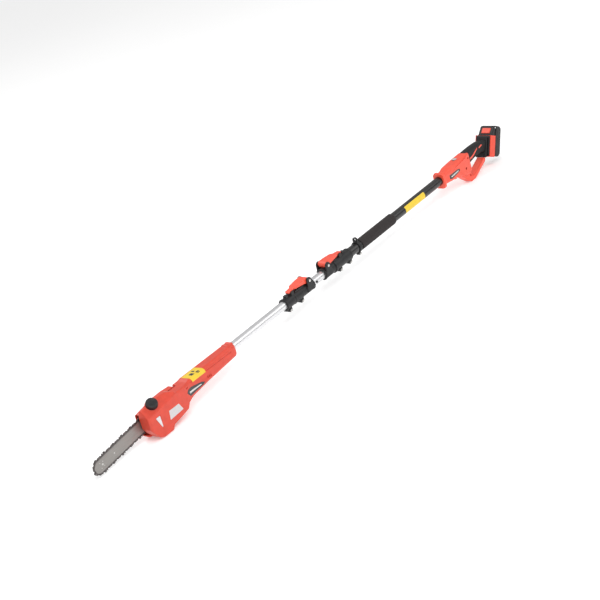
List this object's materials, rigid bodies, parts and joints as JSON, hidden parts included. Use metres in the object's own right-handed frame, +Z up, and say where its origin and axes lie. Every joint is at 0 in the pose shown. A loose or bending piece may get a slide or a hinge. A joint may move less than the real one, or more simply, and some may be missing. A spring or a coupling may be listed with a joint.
{
  "type": "telescoping pole saw",
  "caption": "Battery pole saw: short chain bar on a motor head, quick-release and telescoping tubes with flip levers, foam grip and looped rear handle.",
  "frame": {"origin": "middle of the tool's length and width, at the height of the surface it rests on", "axes": "+X along the pole from the saw's tip to the battery, -Y the tool's left side with the oil window, +Z up"},
  "size_m": [2.1471, 0.0706, 0.1296],
  "materials": {
    "orange_plastic": "satin moulded",
    "lever_orange": "satin moulded",
    "battery_orange": "satin moulded",
    "black_plastic": "fine grain",
    "grey_plastic": "satin",
    "soft_black": "matt overmould",
    "foam": "closed cell foam",
    "aluminium": "drawn, clear anodised",
    "black_tube": "gloss powder coat",
    "steel": "machined",
    "bar_steel": "ground",
    "chain_steel": "oiled dark",
    "winding": "lacquered windings",
    "clear_plastic": "milky translucent",
    "brass": "plain"
  },
  "bodies": {
    "root": {"rear_tube": "black_tube", "clamp_body": "black_plastic", "clamp_bolt_1": "steel", "clamp_bolt_2": "steel", "clamp_lever_pin": "steel", "clamp_bush": "soft_black", "strap_ring": "black_plastic", "ring_bolt": "steel", "foam_grip": "foam", "handle_shell_left": "lever_orange", "handle_shell_right": "lever_orange", "grip_overmould": "soft_black", "trigger_pin": "steel", "trigger_spring": "steel", "trigger_switch": "black_plastic", "battery_dock": "black_plastic", "terminal_block": "brass"},
    "clamp_lever": {"clamp_lever": "lever_orange"},
    "pole": {"middle_tube": "aluminium", "snap_spring": "steel", "coupling_body": "black_plastic", "coupling_bolt_1": "steel", "coupling_bolt_2": "steel", "coupling_lever_pin": "steel", "lead_plug": "black_plastic", "curly_lead": "soft_black"},
    "snap_button": {"snap_button": "black_plastic"},
    "coupling_lever": {"coupling_lever": "lever_orange"},
    "head": {"head_shell_left": "orange_plastic", "head_shell_right": "orange_plastic", "sprocket_cover": "orange_plastic", "guide_bar": "bar_steel", "saw_chain": "chain_steel", "bar_stud_rear": "steel", "bar_stud_front": "steel", "bar_nut_rear": "steel", "bar_nut_front": "steel", "sprocket_bearing_inner": "steel", "sprocket_bearing_outer": "steel", "motor_can": "steel", "oil_tank": "clear_plastic", "oil_window": "clear_plastic", "front_tube": "aluminium", "lead_socket": "black_plastic", "head_lead": "soft_black"},
    "drive": {"sprocket_shaft": "steel", "bevel_wheel": "steel", "chain_sprocket": "steel"},
    "rotor": {"motor_rotor": "winding", "bevel_pinion": "steel"},
    "oil_cap_plug": {"oil_cap_plug": "black_plastic"},
    "oil_cap": {"oil_cap": "black_plastic"},
    "trigger": {"trigger": "black_plastic"},
    "lock_off_button": {"lock_off_button": "grey_plastic"},
    "battery": {"battery_base": "black_plastic", "battery_cover": "black_plastic", "battery_band": "battery_orange", "cell_block": "steel"},
    "battery_latch": {"battery_latch": "battery_orange"}
  },
  "joints": [
    {"name": "pole_slide", "type": "slide", "parent": "root", "child": "pole", "axis": [-1, 0, 0], "range_m": [-0.016, 0.5]},
    {"name": "clamp_lever_hinge", "type": "hinge", "parent": "root", "child": "clamp_lever", "pos_m": [0.0262, 0, 0.1035], "axis": [0, -1, 0], "range_deg": [0, 100]},
    {"name": "head_release", "type": "slide", "parent": "pole", "child": "head", "axis": [-1, 0, 0], "range_m": [0, 0.12]},
    {"name": "coupling_lever_hinge", "type": "hinge", "parent": "pole", "child": "coupling_lever", "pos_m": [-0.0748, 0, 0.1035], "axis": [0, 1, 0], "range_deg": [0, 100]},
    {"name": "snap_button_push", "type": "slide", "parent": "pole", "child": "snap_button", "axis": [0, 1, 0], "range_m": [0, 0.0035], "stiffness_N_per_m": 900},
    {"name": "drive_spin", "type": "hinge", "parent": "head", "child": "drive", "pos_m": [-0.7358, 0, 0.0645], "axis": [0, 1, 0], "continuous": true},
    {"name": "rotor_spin", "type": "hinge", "parent": "head", "child": "rotor", "pos_m": [-0.6408, -0.004, 0.0645], "axis": [1, 0, 0], "continuous": true},
    {"name": "cap_rise", "type": "slide", "parent": "head", "child": "oil_cap_plug", "axis": [-0.0951, -0.5425, 0.8346], "range_m": [0, 0.008]},
    {"name": "cap_turn", "type": "hinge", "parent": "oil_cap_plug", "child": "oil_cap", "pos_m": [-0.8208, -0.012, 0.101], "axis": [-0.0951, -0.5425, 0.8346], "range_deg": [0, 720]},
    {"name": "trigger_pull", "type": "hinge", "parent": "root", "child": "trigger", "pos_m": [0.8767, 0, 0.0755], "axis": [0, -1, 0], "range_deg": [0, 6], "stiffness_Nm_per_rad": 3},
    {"name": "lock_off_slide", "type": "slide", "parent": "root", "child": "lock_off_button", "axis": [-1, 0, 0], "range_m": [0, 0.005], "stiffness_N_per_m": 500},
    {"name": "battery_slide", "type": "slide", "parent": "root", "child": "battery", "axis": [0.454, 0, 0.891], "range_m": [0, 0.12]},
    {"name": "battery_latch_push", "type": "slide", "parent": "battery", "child": "battery_latch", "axis": [0.6479, 0, -0.7618], "range_m": [0, 0.0016], "stiffness_N_per_m": 1500}
  ],
  "couplings": [
    {"joint": "rotor_spin", "follows": "drive_spin", "ratio": 3},
    {"joint": "cap_turn", "follows": "cap_rise", "rad_per_m": 1570.8}
  ]
}
